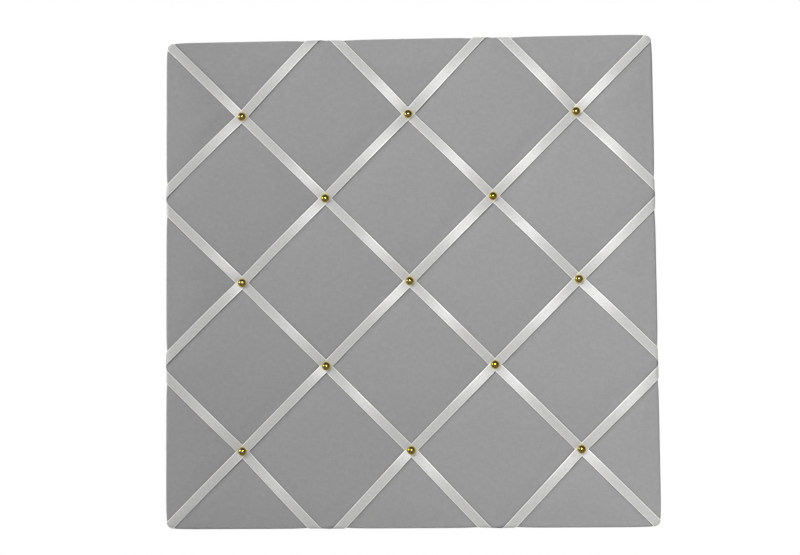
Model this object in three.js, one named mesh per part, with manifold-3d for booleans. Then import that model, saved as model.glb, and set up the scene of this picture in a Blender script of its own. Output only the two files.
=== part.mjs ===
// French memo board: a square padded panel covered in cotton, with a lattice of satin ribbons
// held down at every crossing by a domed brass stud, and two ring hangers on its back.
// Millimetres. Seen from the front, +X is to the right and +Z is up, and the front faces -Y.
// The origin is the middle of the backing card's rear face, which lies against the wall.
import * as THREE from "three";
import { mergeVertices } from "three/addons/utils/BufferGeometryUtils.js";
import Module from "manifold-3d";

const wasm = await Module();
wasm.setup();

// Panel: core, wadding and cotton cover
const BOARD_WIDTH = 500;
const BOARD_HEIGHT = 500;
const CORNER_RADIUS = 10;
const FRONT_ROLL_RADIUS = 3;
const REAR_ROLL_RADIUS = 2.5;
const CORE_THICKNESS = 12;
const WADDING_LOFT = 6;
const WADDING_SIDE = 3.5;
const COVER_THICKNESS = 0.6;
const HEM_WIDTH = 40;
const LAYER_GAP = 0.25;

// Ribbon lattice, and the hollows that it presses into the padding
const STUD_PITCH = 171.5;
const STUD_EDGE_MARGIN = 30;
const RIBBON_WIDTH = 9.5;
const RIBBON_THICKNESS = 0.35;
const RIBBON_TAIL = 36;
const RIBBON_STEP_LENGTH = 9;
const RIBBON_SIDE_SPREAD = 1.5;
const RIBBON_TOP_SPREAD = 4.5;
const CHANNEL_DEPTH = 0.6;
const CHANNEL_MARGIN = 1.5;
const CHANNEL_SLOPE_WIDTH = 10;
const TUFT_DEPTH = 4;
const TUFT_MARGIN = 3;
const TUFT_SLOPE_WIDTH = 44;

// Studs and staples
const STUD_HEAD_DIAMETER = 8.6;
const STUD_HEAD_HEIGHT = 3.4;
const STUD_HEAD_WALL = 0.6;
const STUD_SHANK_DIAMETER = 1.8;
const STUD_SHANK_LENGTH = 13;
const STUD_POINT_LENGTH = 3;
const STAPLE_WIRE_WIDTH = 1;
const STAPLE_WIRE_THICKNESS = 0.6;
const STAPLE_LEG_LENGTH = 8;
const STAPLE_FROM_TAIL_END = 9;
const PIN_HOLE_CLEARANCE = 0.3;

// Backing card and ring hangers
const CARD_THICKNESS = 3;
const CARD_INSET = 12;
const CARD_WINDOW_MARGIN = 3;
const HANGER_SPACING = 260;
const HANGER_DROP = 72;
const STRAP_WIDTH = 12;
const STRAP_THICKNESS = 1;
const STRAP_LENGTH = 24;
const EYE_CLEARANCE = 0.35;
const RING_WIRE_DIAMETER = 2.4;
const RING_INNER_WIDTH = 17;
const RING_INNER_HEIGHT = 14;
const RING_CORNER_RADIUS = 2;
const RING_SEAT_GAP = 0.3;
const SCREW_HEAD_DIAMETER = 6.4;
const SCREW_HEAD_FLAT_DIAMETER = 4;
const SCREW_HEAD_HEIGHT = 2;
const SCREW_SHANK_DIAMETER = 3;
const SCREW_SHANK_LENGTH = 9;
const SCREW_POINT_LENGTH = 3;
const SCREW_FROM_STRAP_END = 6.5;
const CROSS_RECESS_LENGTH = 3.4;
const CROSS_RECESS_WIDTH = 0.9;
const CROSS_RECESS_DEPTH = 1.1;

// How far a cutting shape runs past the surface that it cuts
const TOOL_OVERRUN = 4;

// Smoothness of round shapes
const CORNER_STEPS = 6;
const CORNER_RIBBON_STEPS = 4;
const FRONT_ROLL_STEPS = 3;
const REAR_ROLL_STEPS = 2;
const RIBBON_SIDE_STEPS = 6;
const STUD_SIDES = 12;
const PIN_SIDES = 6;
const WIRE_SIDES = 8;
const STRAP_ARC_STEPS = 7;
const STUD_DOME_DEGREES = [65, 32];
const STUD_HOLLOW_DEGREES = 45;
const RING_CORNER_STEPS = 3;
const RING_BOW_STEPS = 8;
const SCREW_SIDES = 12;

// Levels along Y, from the wall to the front
const cardFront = -CARD_THICKNESS;
const stapleRear = cardFront - LAYER_GAP;
const stapleFront = stapleRear - STAPLE_WIRE_THICKNESS;
const coverRear = stapleFront - LAYER_GAP - RIBBON_THICKNESS - LAYER_GAP;
const coreRear = coverRear - COVER_THICKNESS - LAYER_GAP;
const coreFront = coreRear - CORE_THICKNESS;
const coverFront = coreFront - LAYER_GAP - WADDING_LOFT - LAYER_GAP - COVER_THICKNESS;
const tuftFloor = coverFront + TUFT_DEPTH;
const studSeat = tuftFloor - 2 * (LAYER_GAP + RIBBON_THICKNESS) - LAYER_GAP;

// Plan sizes that follow from the driving dimensions
const halfWidth = BOARD_WIDTH / 2;
const halfHeight = BOARD_HEIGHT / 2;
const coreInset = COVER_THICKNESS + WADDING_SIDE + 2 * LAYER_GAP;
const channelHalf = RIBBON_WIDTH / 2 + CHANNEL_MARGIN;
const tuftHalf = RIBBON_WIDTH / 2 + TUFT_MARGIN;
const tuftToChannel = tuftHalf + TUFT_SLOPE_WIDTH * (1 - CHANNEL_DEPTH / TUFT_DEPTH);
const linePitch = STUD_PITCH * Math.SQRT1_2;

// Colours and finishes
const cottonFinish = { color: "#9b9b9b", roughness: 0.95, metalness: 0 };
const satinFinish = { color: "#e2e2de", roughness: 0.45, metalness: 0 };
const brassFinish = { color: "#b8923c", roughness: 0.18, metalness: 1 };
const steelFinish = { color: "#b9bcbf", roughness: 0.35, metalness: 1 };
const softboardFinish = { color: "#b29468", roughness: 0.9, metalness: 0 };
const waddingFinish = { color: "#f1f1ee", roughness: 1, metalness: 0 };
const cardFinish = { color: "#a9825a", roughness: 0.85, metalness: 0 };

const board = new THREE.Group();

function addPiece(name, shape, finish) {
  const geometry = shape.isBufferGeometry ? shape : geometryOf(shape);
  const mesh = new THREE.Mesh(geometry, new THREE.MeshStandardMaterial(finish));
  mesh.name = name;
  board.add(mesh);
  return mesh;
}

// Solids for joining and cutting
function solidOf(geometry) {
  const bare = new THREE.BufferGeometry();
  bare.setAttribute("position", geometry.getAttribute("position").clone());
  bare.setIndex(geometry.index ? geometry.index.clone() : null);
  const merged = mergeVertices(bare, 1e-4);
  const vertProperties = new Float32Array(merged.getAttribute("position").array);
  const triVerts = new Uint32Array(merged.index.array);
  return new wasm.Manifold(new wasm.Mesh({ numProp: 3, vertProperties, triVerts }));
}

function geometryOf(solid) {
  const mesh = solid.getMesh();
  const geometry = new THREE.BufferGeometry();
  geometry.setAttribute("position", new THREE.BufferAttribute(new Float32Array(mesh.vertProperties), 3));
  geometry.setIndex(new THREE.BufferAttribute(new Uint32Array(mesh.triVerts), 1));
  geometry.computeVertexNormals();
  return geometry;
}

function cutAll(solid, tools) {
  return tools.reduce((rest, tool) => rest.subtract(tool), solid);
}

function shiftedSolid(solid, y) {
  return solid.translate([0, y, 0]);
}

function geometryFrom(points, faces) {
  const geometry = new THREE.BufferGeometry().setFromPoints(points);
  geometry.setIndex(faces);
  geometry.computeVertexNormals();
  return geometry;
}

// Closed skin through outlines of equal point count, each running anticlockwise as seen from -Y,
// from the frontmost outline to the rearmost.
function loft(outlines) {
  const count = outlines[0].length;
  const last = (outlines.length - 1) * count;
  const faces = [];
  for (let start = 0; start < last; start += count) {
    for (let i = 0; i < count; i++) {
      const a = start + i;
      const b = start + ((i + 1) % count);
      faces.push(a, a + count, b + count, a, b + count, b);
    }
  }
  for (let i = 1; i < count - 1; i++) {
    faces.push(0, i, i + 1, last, last + i + 1, last + i);
  }
  return geometryFrom(outlines.flat(), faces);
}

function roundedOutline(halfX, halfZ, radius, y) {
  const points = [];
  for (let corner = 0; corner < 4; corner++) {
    const signX = corner === 0 || corner === 3 ? 1 : -1;
    const signZ = corner < 2 ? 1 : -1;
    for (let step = 0; step <= CORNER_STEPS; step++) {
      const angle = (corner + step / CORNER_STEPS) * Math.PI / 2;
      const x = signX * (halfX - radius) + radius * Math.cos(angle);
      const z = signZ * (halfZ - radius) + radius * Math.sin(angle);
      points.push(new THREE.Vector3(x, y, z));
    }
  }
  return points;
}

// Section of the covered edge. A run is the length along the cloth from the start of the front roll,
// round the side and on to the back. Growth moves the surface outwards.
const channelRun = FRONT_ROLL_RADIUS * Math.acos(1 - CHANNEL_DEPTH / FRONT_ROLL_RADIUS);
const sideStartRun = FRONT_ROLL_RADIUS * Math.PI / 2;
const sideEndRun = sideStartRun + coverRear - coverFront - FRONT_ROLL_RADIUS - REAR_ROLL_RADIUS;
const backStartRun = sideEndRun + REAR_ROLL_RADIUS * Math.PI / 2;

function stepsBetween(from, to, count) {
  return Array.from({ length: count }, (_, i) => from + (to - from) * (i + 1) / count);
}

const frontRuns = [channelRun, ...stepsBetween(channelRun, sideStartRun, FRONT_ROLL_STEPS)];
const rearRuns = stepsBetween(sideEndRun, backStartRun, REAR_ROLL_STEPS);
const padRuns = [0, ...frontRuns, sideEndRun, ...rearRuns];
const ribbonRuns = [...frontRuns, ...stepsBetween(sideStartRun, sideEndRun, RIBBON_SIDE_STEPS), ...rearRuns];

function edgePoint(run, growth) {
  if (run <= sideStartRun) {
    const angle = run / FRONT_ROLL_RADIUS;
    const radius = FRONT_ROLL_RADIUS + growth;
    const out = radius * Math.sin(angle) - FRONT_ROLL_RADIUS;
    return { out, y: coverFront + FRONT_ROLL_RADIUS - radius * Math.cos(angle) };
  }
  if (run <= sideEndRun) {
    return { out: growth, y: coverFront + FRONT_ROLL_RADIUS + run - sideStartRun };
  }
  const angle = Math.min((run - sideEndRun) / REAR_ROLL_RADIUS, Math.PI / 2);
  const radius = REAR_ROLL_RADIUS + growth;
  const inward = Math.max(run - backStartRun, 0);
  const out = radius * Math.cos(angle) - REAR_ROLL_RADIUS - inward;
  return { out, y: coverRear - REAR_ROLL_RADIUS + radius * Math.sin(angle) };
}

function cornerRadius(out) {
  return Math.max(CORNER_RADIUS + out, LAYER_GAP);
}

function padBlock(growth) {
  const outlines = padRuns.map((run) => {
    const { out, y } = edgePoint(run, growth);
    return roundedOutline(halfWidth + out, halfHeight + out, cornerRadius(out), y);
  });
  return solidOf(loft(outlines));
}

// Lattice lines. Falling ribbons run down to the right and rising ribbons run up to the right.
// A line keeps a fixed distance from the middle of the board, and a stud sits at each crossing
// that is clear of the edge.
const reachAlongDiagonal = (halfWidth + halfHeight) * Math.SQRT1_2;
const lineLimit = Math.floor(reachAlongDiagonal / linePitch);
const lineNumbers = Array.from({ length: 2 * lineLimit + 1 }, (_, i) => i - lineLimit);

function crossingPlace(fallingLine, risingLine) {
  const x = (fallingLine + risingLine) * STUD_PITCH / 2;
  const z = (fallingLine - risingLine) * STUD_PITCH / 2;
  return { x, z };
}

function isStudded({ x, z }) {
  return Math.abs(x) < halfWidth - STUD_EDGE_MARGIN && Math.abs(z) < halfHeight - STUD_EDGE_MARGIN;
}

const families = [
  {
    name: "falling",
    along: new THREE.Vector2(1, -1).normalize(),
    over: false,
    crossing: (own, other) => crossingPlace(own, other),
  },
  {
    name: "rising",
    along: new THREE.Vector2(1, 1).normalize(),
    over: true,
    crossing: (own, other) => crossingPlace(other, own),
  },
];

function edgeSpread(acrossX) {
  return acrossX ? RIBBON_SIDE_SPREAD : RIBBON_TOP_SPREAD;
}

// Place along a ribbon where it crosses another. Without a stud they meet past the edge, and later by
// as much as they are drawn apart there.
function crossingAlong(other, crossing) {
  const later = isStudded(crossing) ? 0 : edgeSpread(Math.abs(crossing.x) > Math.abs(crossing.z));
  return other * linePitch + Math.sign(other) * later * Math.SQRT2;
}

const ribbonLines = families.flatMap((family) => {
  const across = new THREE.Vector2(family.along.y, -family.along.x);
  const offsetSign = family.over ? 1 : -1;
  const isPinned = (own, other) => isStudded(family.crossing(own, other));
  const used = lineNumbers.filter((own) => lineNumbers.some((other) => isPinned(own, other)));
  return used.map((own, index) => ({
    name: `ribbon_${family.name}_${index + 1}`,
    along: family.along,
    across,
    over: family.over,
    middle: across.clone().multiplyScalar(offsetSign * own * linePitch),
    studPlaces: used.filter((other) => isPinned(own, other)).map((other) => other * linePitch),
    crossPlaces: used.map((other) => crossingAlong(other, family.crossing(own, other))),
  }));
});

const studPlaces = lineNumbers
  .flatMap((falling) => lineNumbers.map((rising) => crossingPlace(falling, rising)))
  .filter(isStudded)
  .sort((a, b) => b.z - a.z || a.x - b.x);

// Hollows in the padding: a shallow channel under each ribbon and a square tuft under each stud.
// Each tool carries its slope on past the front, so that it cuts clean through the surface.
function channelTool(line) {
  const slope = CHANNEL_SLOPE_WIDTH / CHANNEL_DEPTH;
  const topHalf = channelHalf + slope * (CHANNEL_DEPTH + TOOL_OVERRUN);
  const section = new THREE.Shape([
    new THREE.Vector2(-topHalf, coverFront - TOOL_OVERRUN),
    new THREE.Vector2(topHalf, coverFront - TOOL_OVERRUN),
    new THREE.Vector2(channelHalf, coverFront + CHANNEL_DEPTH),
    new THREE.Vector2(-channelHalf, coverFront + CHANNEL_DEPTH),
  ]);
  const length = 2 * (halfWidth + halfHeight);
  const prism = new THREE.ExtrudeGeometry(section, { depth: length, bevelEnabled: false });
  prism.translate(0, 0, -length / 2);
  prism.rotateY(Math.atan2(line.along.x, line.along.y));
  prism.translate(line.middle.x, 0, line.middle.y);
  return solidOf(prism);
}

function tuftTool({ x, z }) {
  const slope = TUFT_SLOPE_WIDTH / TUFT_DEPTH;
  const height = TUFT_DEPTH + TOOL_OVERRUN;
  const frontRadius = Math.SQRT2 * (tuftHalf + slope * height);
  const frustum = new THREE.CylinderGeometry(Math.SQRT2 * tuftHalf, frontRadius, height, 4);
  frustum.translate(x, tuftFloor - height / 2, z);
  return solidOf(frustum);
}

const hollows = [...ribbonLines.map(channelTool), ...studPlaces.map(tuftTool)];

function hollowedPad(inset) {
  return cutAll(padBlock(-inset), hollows.map((tool) => shiftedSolid(tool, inset)));
}

function pinHole(diameter, y0, y1, x, z) {
  const radius = diameter / 2 + PIN_HOLE_CLEARANCE;
  const hole = new THREE.CylinderGeometry(radius, radius, y1 - y0, PIN_SIDES);
  hole.translate(x, (y0 + y1) / 2, z);
  return solidOf(hole);
}

const studTip = studSeat + STUD_SHANK_LENGTH;
const studHoles = studPlaces.map(({ x, z }) =>
  pinHole(STUD_SHANK_DIAMETER, coverFront - TOOL_OVERRUN, studTip + PIN_HOLE_CLEARANCE, x, z));

// Ribbons
const liftReach = tuftHalf + RIBBON_STEP_LENGTH;

function liftAt(line, s) {
  if (!line.over) {
    return 0;
  }
  const nearest = Math.min(...line.crossPlaces.map((place) => Math.abs(s - place)));
  const share = 1 - (nearest - tuftHalf) / RIBBON_STEP_LENGTH;
  return THREE.MathUtils.clamp(share, 0, 1) * (RIBBON_THICKNESS + LAYER_GAP);
}

function trackDepth(line, s) {
  const nearest = Math.min(...line.studPlaces.map((place) => Math.abs(s - place)));
  const share = 1 - (nearest - tuftHalf) / TUFT_SLOPE_WIDTH;
  return Math.max(CHANNEL_DEPTH, TUFT_DEPTH * Math.min(share, 1));
}

function planPoint(line, s, t) {
  return line.middle.clone().addScaledVector(line.along, s).addScaledVector(line.across, t);
}

// Distance along a ray in plan to the side of a rounded rectangle.
function rayToOutline(from, direction, halfX, halfZ, radius) {
  const toX = (Math.sign(direction.x) * halfX - from.x) / direction.x;
  const toZ = (Math.sign(direction.y) * halfZ - from.y) / direction.y;
  const straight = Math.min(toX, toZ);
  const hit = from.clone().addScaledVector(direction, straight);
  const signX = Math.sign(direction.x);
  const signZ = Math.sign(direction.y);
  const centre = new THREE.Vector2(signX * (halfX - radius), signZ * (halfZ - radius));
  const pastX = (hit.x - centre.x) * signX;
  const pastZ = (hit.y - centre.y) * signZ;
  if (pastX <= 0 || pastZ <= 0) {
    return straight;
  }
  const toCentre = centre.clone().sub(from);
  const along = toCentre.dot(direction);
  const aside = toCentre.lengthSq() - along * along;
  return along + Math.sqrt(Math.max(radius * radius - aside, 0));
}

// One end of a ribbon, seen going outwards. An end that leaves across a straight side is drawn along
// it, away from the ribbon that it meets there. An end that leaves over a corner turns it squarely.
function ribbonEnd(line, sign) {
  const out = line.along.clone().multiplyScalar(sign);
  const flatX = halfWidth - FRONT_ROLL_RADIUS;
  const flatZ = halfHeight - FRONT_ROLL_RADIUS;
  const toX = (flatX - line.middle.x * Math.sign(out.x)) / Math.abs(out.x);
  const toZ = (flatZ - line.middle.y * Math.sign(out.y)) / Math.abs(out.y);
  const overCorner = Math.abs(toX - toZ) * Math.SQRT1_2 < CORNER_RADIUS + RIBBON_WIDTH;
  const acrossX = toX < toZ;
  const outwardShare = Math.SQRT1_2;
  const spread = -Math.sign(acrossX ? out.y : out.x) * edgeSpread(acrossX);

  // Place on the cloth, as run round the edge and plan position, of a point s along and t across.
  function onSide(s, t, growth) {
    const flat = planPoint(line, sign * s, t);
    const outward = acrossX ? Math.abs(flat.x) - flatX : Math.abs(flat.y) - flatZ;
    const edge = edgePoint(Math.max(outward, 0), growth);
    const reach = (acrossX ? halfWidth : halfHeight) + edge.out;
    const x = acrossX ? Math.sign(out.x) * reach : flat.x + spread;
    const z = acrossX ? flat.y + spread : Math.sign(out.y) * reach;
    return new THREE.Vector3(x, edge.y, z);
  }

  function sideSectionStart(run, t) {
    const flat = planPoint(line, 0, t);
    const outward = acrossX ? flat.x * Math.sign(out.x) : flat.y * Math.sign(out.y);
    return ((acrossX ? flatX : flatZ) + run - outward) / outwardShare;
  }

  function cornerReach(run, growth, t) {
    const edge = edgePoint(run, growth);
    const from = planPoint(line, 0, t);
    const halfX = halfWidth + edge.out;
    const halfZ = halfHeight + edge.out;
    return { reach: rayToOutline(from, out, halfX, halfZ, cornerRadius(edge.out)), y: edge.y };
  }

  const cornerBackReach = overCorner ? cornerReach(backStartRun, 0, 0).reach : 0;
  const sideBackStart = sideSectionStart(backStartRun, 0);

  // Where tails cross on the back, each runs on until its staple is clear of the other.
  const meetings = line.crossPlaces
    .map((place) => sign * place - sideBackStart)
    .filter((place) => !overCorner && place > 0 && place < RIBBON_TAIL + RIBBON_WIDTH / 2);
  const clearPlaces = meetings.map((place) => place + liftReach + STAPLE_WIRE_WIDTH / 2);
  const staplePlace = Math.max(RIBBON_TAIL - STAPLE_FROM_TAIL_END, ...clearPlaces);
  const tailLength = staplePlace + STAPLE_FROM_TAIL_END;
  const liftPlaces = meetings
    .flatMap((place) => [-liftReach, -tuftHalf, tuftHalf, liftReach].map((offset) => place + offset))
    .filter((place) => place > RIBBON_WIDTH / 2);
  const levelPlace = meetings.length > 0 ? [] : [RIBBON_WIDTH / 2 + RIBBON_STEP_LENGTH];
  const tailPlaces = [...levelPlace, ...liftPlaces, tailLength];

  function wrapPoint(run, t, rise) {
    if (overCorner) {
      const { reach, y } = cornerReach(run, rise(0), t);
      const flat = planPoint(line, sign * reach, t);
      return new THREE.Vector3(flat.x, y, flat.y);
    }
    const s = sideSectionStart(run, t);
    return onSide(s, t, rise(sign * s));
  }

  // Point on the back, a length past the rear roll.
  function tailPoint(length, t, rise) {
    if (overCorner) {
      const flat = planPoint(line, sign * (cornerBackReach - length), t);
      return new THREE.Vector3(flat.x, coverRear + rise(0), flat.y);
    }
    const s = sideBackStart + length;
    return onSide(s, t, rise(sign * s));
  }

  return { wrapPoint, tailPoint, overCorner, staplePlace, tailPlaces };
}

function ribbonSections(line, ends, acrossPlaces, extraRise) {
  const rise = (s) => LAYER_GAP + liftAt(line, s) + extraRise;
  const cornerRise = () => LAYER_GAP + extraRise;
  const stepEnds = line.over ? [liftReach] : [];
  const offsets = [tuftHalf, ...stepEnds, tuftToChannel].flatMap((offset) => [-offset, offset]);
  const frontPlaces = line.studPlaces
    .flatMap((place) => offsets.map((offset) => place + offset))
    .sort((a, b) => a - b);
  const frontSections = frontPlaces.map((s) => acrossPlaces.map((t) => {
    const flat = planPoint(line, s, t);
    return new THREE.Vector3(flat.x, coverFront + trackDepth(line, s) - rise(s), flat.y);
  }));
  const [startSections, endSections] = ends.map((end) => {
    const endRise = end.overCorner ? cornerRise : rise;
    const wraps = ribbonRuns.map((run) => acrossPlaces.map((t) => end.wrapPoint(run, t, endRise)));
    const tails = end.tailPlaces.map((length) => acrossPlaces.map((t) => end.tailPoint(length, t, endRise)));
    return [...wraps, ...tails];
  });
  return [...startSections.reverse(), ...frontSections, ...endSections];
}

// Closed strip between an under and an upper row of sections, each listed from one edge of the strip
// to the other.
function stripSolid(under, upper) {
  const wide = under[0].length;
  const points = [...under.flat(), ...upper.flat()];
  const offset = under.length * wide;
  const faces = [];
  const quad = (a, b, c, d) => faces.push(a, b, c, a, c, d);
  for (let row = 0; row < under.length; row++) {
    const start = row * wide;
    const isEnd = row === under.length - 1;
    for (let i = 0; i < wide - 1; i++) {
      const a = start + i;
      const b = a + 1;
      if (row === 0) {
        quad(a, b, offset + b, offset + a);
      }
      if (isEnd) {
        quad(a, offset + a, offset + b, b);
      } else {
        quad(a, a + wide, b + wide, b);
        quad(offset + a, offset + b, offset + b + wide, offset + a + wide);
      }
    }
    if (!isEnd) {
      const right = start + wide - 1;
      quad(start, offset + start, offset + start + wide, start + wide);
      quad(right, right + wide, offset + right + wide, offset + right);
    }
  }
  return solidOf(geometryFrom(points, faces));
}

function ribbonPiece(line) {
  const ends = [ribbonEnd(line, -1), ribbonEnd(line, 1)];
  const steps = ends.some((end) => end.overCorner) ? CORNER_RIBBON_STEPS : 1;
  const acrossPlaces = Array.from({ length: steps + 1 }, (_, i) => RIBBON_WIDTH * (i / steps - 0.5));
  const under = ribbonSections(line, ends, acrossPlaces, 0);
  const upper = ribbonSections(line, ends, acrossPlaces, RIBBON_THICKNESS);
  const strip = cutAll(stripSolid(under, upper), studHoles);
  return { strip, ends };
}

const ribbons = ribbonLines.map((line) => ({ line, ...ribbonPiece(line) }));

// Staples: one across each ribbon tail, its legs beside the ribbon and through the hem into the core.
const stapleHalfSpan = RIBBON_WIDTH / 2 + PIN_HOLE_CLEARANCE;

function stapleGeometry() {
  const outer = stapleHalfSpan + STAPLE_WIRE_THICKNESS;
  const tip = stapleRear - STAPLE_LEG_LENGTH;
  const section = new THREE.Shape([
    new THREE.Vector2(-outer, tip),
    new THREE.Vector2(-stapleHalfSpan, tip),
    new THREE.Vector2(-stapleHalfSpan, stapleFront),
    new THREE.Vector2(stapleHalfSpan, stapleFront),
    new THREE.Vector2(stapleHalfSpan, tip),
    new THREE.Vector2(outer, tip),
    new THREE.Vector2(outer, stapleRear),
    new THREE.Vector2(-outer, stapleRear),
  ]);
  const wire = new THREE.ExtrudeGeometry(section, { depth: STAPLE_WIRE_WIDTH, bevelEnabled: false });
  return wire.translate(0, 0, -STAPLE_WIRE_WIDTH / 2);
}

const staples = ribbons.flatMap(({ ends }) => ends.map((end) => {
  const rise = () => LAYER_GAP;
  const [one, other] = [-1, 1].map((t) => end.tailPoint(end.staplePlace, t, rise));
  const middle = one.clone().lerp(other, 0.5);
  const turn = Math.atan2(one.z - other.z, other.x - one.x);
  return { x: middle.x, z: middle.z, turn };
}));

const legHoles = staples.flatMap(({ x, z, turn }) => [-1, 1].map((side) => {
  const wide = STAPLE_WIRE_THICKNESS + 2 * PIN_HOLE_CLEARANCE;
  const long = STAPLE_WIRE_WIDTH + 2 * PIN_HOLE_CLEARANCE;
  const deep = STAPLE_LEG_LENGTH + PIN_HOLE_CLEARANCE;
  const hole = new THREE.BoxGeometry(wide, deep, long);
  hole.translate(side * (stapleHalfSpan + STAPLE_WIRE_THICKNESS / 2), stapleRear - deep / 2, 0);
  hole.rotateY(turn);
  hole.translate(x, 0, z);
  return solidOf(hole);
}));

// Hangers: a strap curled round the straight bar of a D ring, screwed to the back of the core.
const eyeInner = RING_WIRE_DIAMETER / 2 + EYE_CLEARANCE;
const eyeOuter = eyeInner + STRAP_THICKNESS;
const strapSeat = coreRear + LAYER_GAP;
const eyeY = strapSeat + eyeOuter;
const eyeZ = halfHeight - HANGER_DROP;
const screwZ = -STRAP_LENGTH + SCREW_FROM_STRAP_END;
const screwSeat = strapSeat + STRAP_THICKNESS + LAYER_GAP;
const ringHeight = RING_INNER_HEIGHT + RING_WIRE_DIAMETER;
const ringLean = Math.asin((eyeY - RING_WIRE_DIAMETER / 2 - RING_SEAT_GAP - coreRear) / ringHeight);
const hangerPlaces = [{ side: "left", x: -HANGER_SPACING / 2 }, { side: "right", x: HANGER_SPACING / 2 }];

function strapPiece() {
  const section = new THREE.Shape();
  section.moveTo(-STRAP_LENGTH, 0);
  section.lineTo(0, 0);
  const curlEnd = Math.PI + Math.asin((eyeOuter - STRAP_THICKNESS) / eyeOuter);
  section.absarc(0, eyeOuter, eyeOuter, -Math.PI / 2, curlEnd);
  section.lineTo(-STRAP_LENGTH, STRAP_THICKNESS);
  section.holes.push(new THREE.Path().absarc(0, eyeOuter, eyeInner, 0, 2 * Math.PI, true));
  const bentOptions = { depth: STRAP_WIDTH, bevelEnabled: false, curveSegments: STRAP_ARC_STEPS };
  const bent = new THREE.ExtrudeGeometry(section, bentOptions);
  bent.translate(0, 0, -STRAP_WIDTH / 2);
  bent.rotateY(-Math.PI / 2);
  const plan = new THREE.Shape();
  plan.moveTo(-STRAP_WIDTH / 2, 2 * eyeOuter);
  plan.lineTo(-STRAP_WIDTH / 2, STRAP_WIDTH / 2 - STRAP_LENGTH);
  plan.absarc(0, STRAP_WIDTH / 2 - STRAP_LENGTH, STRAP_WIDTH / 2, Math.PI, 2 * Math.PI);
  plan.lineTo(STRAP_WIDTH / 2, 2 * eyeOuter);
  const planOptions = { depth: 4 * eyeOuter, bevelEnabled: false, curveSegments: STRAP_ARC_STEPS };
  const outline = new THREE.ExtrudeGeometry(plan, planOptions);
  outline.rotateX(Math.PI / 2);
  outline.translate(0, 3 * eyeOuter, 0);
  const hole = pinHole(SCREW_SHANK_DIAMETER, -STRAP_THICKNESS, 2 * STRAP_THICKNESS, 0, screwZ);
  return solidOf(bent).intersect(solidOf(outline)).subtract(hole);
}

// D ring of bent wire, with its bar on the X axis and its bow upwards.
function ringGeometry() {
  const half = (RING_INNER_WIDTH + RING_WIRE_DIAMETER) / 2;
  const bowZ = ringHeight - half;
  const corner = RING_CORNER_RADIUS;
  const arc = (x, z, radius, from, to, steps) =>
    new THREE.EllipseCurve(x, z, radius, radius, from, to).getPoints(steps);
  const centre = [
    ...arc(half - corner, corner, corner, -Math.PI / 2, 0, RING_CORNER_STEPS),
    ...arc(0, bowZ, half, 0, Math.PI, RING_BOW_STEPS),
    ...arc(corner - half, corner, corner, Math.PI, Math.PI * 1.5, RING_CORNER_STEPS),
  ];
  const points = [];
  const faces = [];
  centre.forEach((point, i) => {
    const before = centre[(i + centre.length - 1) % centre.length];
    const after = centre[(i + 1) % centre.length];
    const into = point.clone().sub(before).normalize();
    const onward = after.clone().sub(point).normalize();
    const heading = into.clone().add(onward).normalize();
    const mitre = 1 / Math.sqrt((1 + into.dot(onward)) / 2);
    const side = new THREE.Vector2(heading.y, -heading.x).multiplyScalar(mitre);
    for (let k = 0; k < WIRE_SIDES; k++) {
      const angle = 2 * Math.PI * k / WIRE_SIDES;
      const aside = Math.cos(angle) * RING_WIRE_DIAMETER / 2;
      const deep = Math.sin(angle) * RING_WIRE_DIAMETER / 2;
      points.push(new THREE.Vector3(point.x + side.x * aside, deep, point.y + side.y * aside));
      const a = i * WIRE_SIDES + k;
      const b = i * WIRE_SIDES + ((k + 1) % WIRE_SIDES);
      const c = ((i + 1) % centre.length) * WIRE_SIDES + ((k + 1) % WIRE_SIDES);
      const d = ((i + 1) % centre.length) * WIRE_SIDES + k;
      faces.push(a, b, c, a, c, d);
    }
  });
  return geometryFrom(points, faces);
}

// Round-headed pins, turned about the Y axis
function latheProfile(points, sides) {
  return new THREE.LatheGeometry(points.map(([radius, y]) => new THREE.Vector2(radius, y)), sides);
}

function studGeometry() {
  const headRadius = STUD_HEAD_DIAMETER / 2;
  const shankRadius = STUD_SHANK_DIAMETER / 2;
  const innerRadius = headRadius - STUD_HEAD_WALL;
  const innerHeight = STUD_HEAD_HEIGHT - STUD_HEAD_WALL;
  const dome = (radius, height, degrees) => {
    const angle = THREE.MathUtils.degToRad(degrees);
    return [radius * Math.cos(angle), -height * Math.sin(angle)];
  };
  return latheProfile([
    [0, -STUD_HEAD_HEIGHT],
    ...STUD_DOME_DEGREES.map((degrees) => dome(headRadius, STUD_HEAD_HEIGHT, degrees)),
    [headRadius, 0],
    [innerRadius, 0],
    dome(innerRadius, innerHeight, STUD_HOLLOW_DEGREES),
    [shankRadius, -innerHeight * Math.sqrt(1 - (shankRadius / innerRadius) ** 2)],
    [shankRadius, STUD_SHANK_LENGTH - STUD_POINT_LENGTH],
    [0, STUD_SHANK_LENGTH],
  ], STUD_SIDES);
}

function screwPiece() {
  const headRadius = SCREW_HEAD_DIAMETER / 2;
  const shankRadius = SCREW_SHANK_DIAMETER / 2;
  const turned = latheProfile([
    [0, -SCREW_SHANK_LENGTH],
    [shankRadius, SCREW_POINT_LENGTH - SCREW_SHANK_LENGTH],
    [shankRadius, 0],
    [headRadius, 0],
    [headRadius, SCREW_HEAD_HEIGHT / 2],
    [SCREW_HEAD_FLAT_DIAMETER / 2, SCREW_HEAD_HEIGHT],
    [0, SCREW_HEAD_HEIGHT],
  ], SCREW_SIDES);
  const slots = [0, Math.PI / 2].map((turn) => {
    const slot = new THREE.BoxGeometry(CROSS_RECESS_LENGTH, 2 * CROSS_RECESS_DEPTH, CROSS_RECESS_WIDTH);
    slot.rotateY(turn);
    slot.translate(0, SCREW_HEAD_HEIGHT, 0);
    return solidOf(slot);
  });
  return cutAll(solidOf(turned), slots);
}

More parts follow.
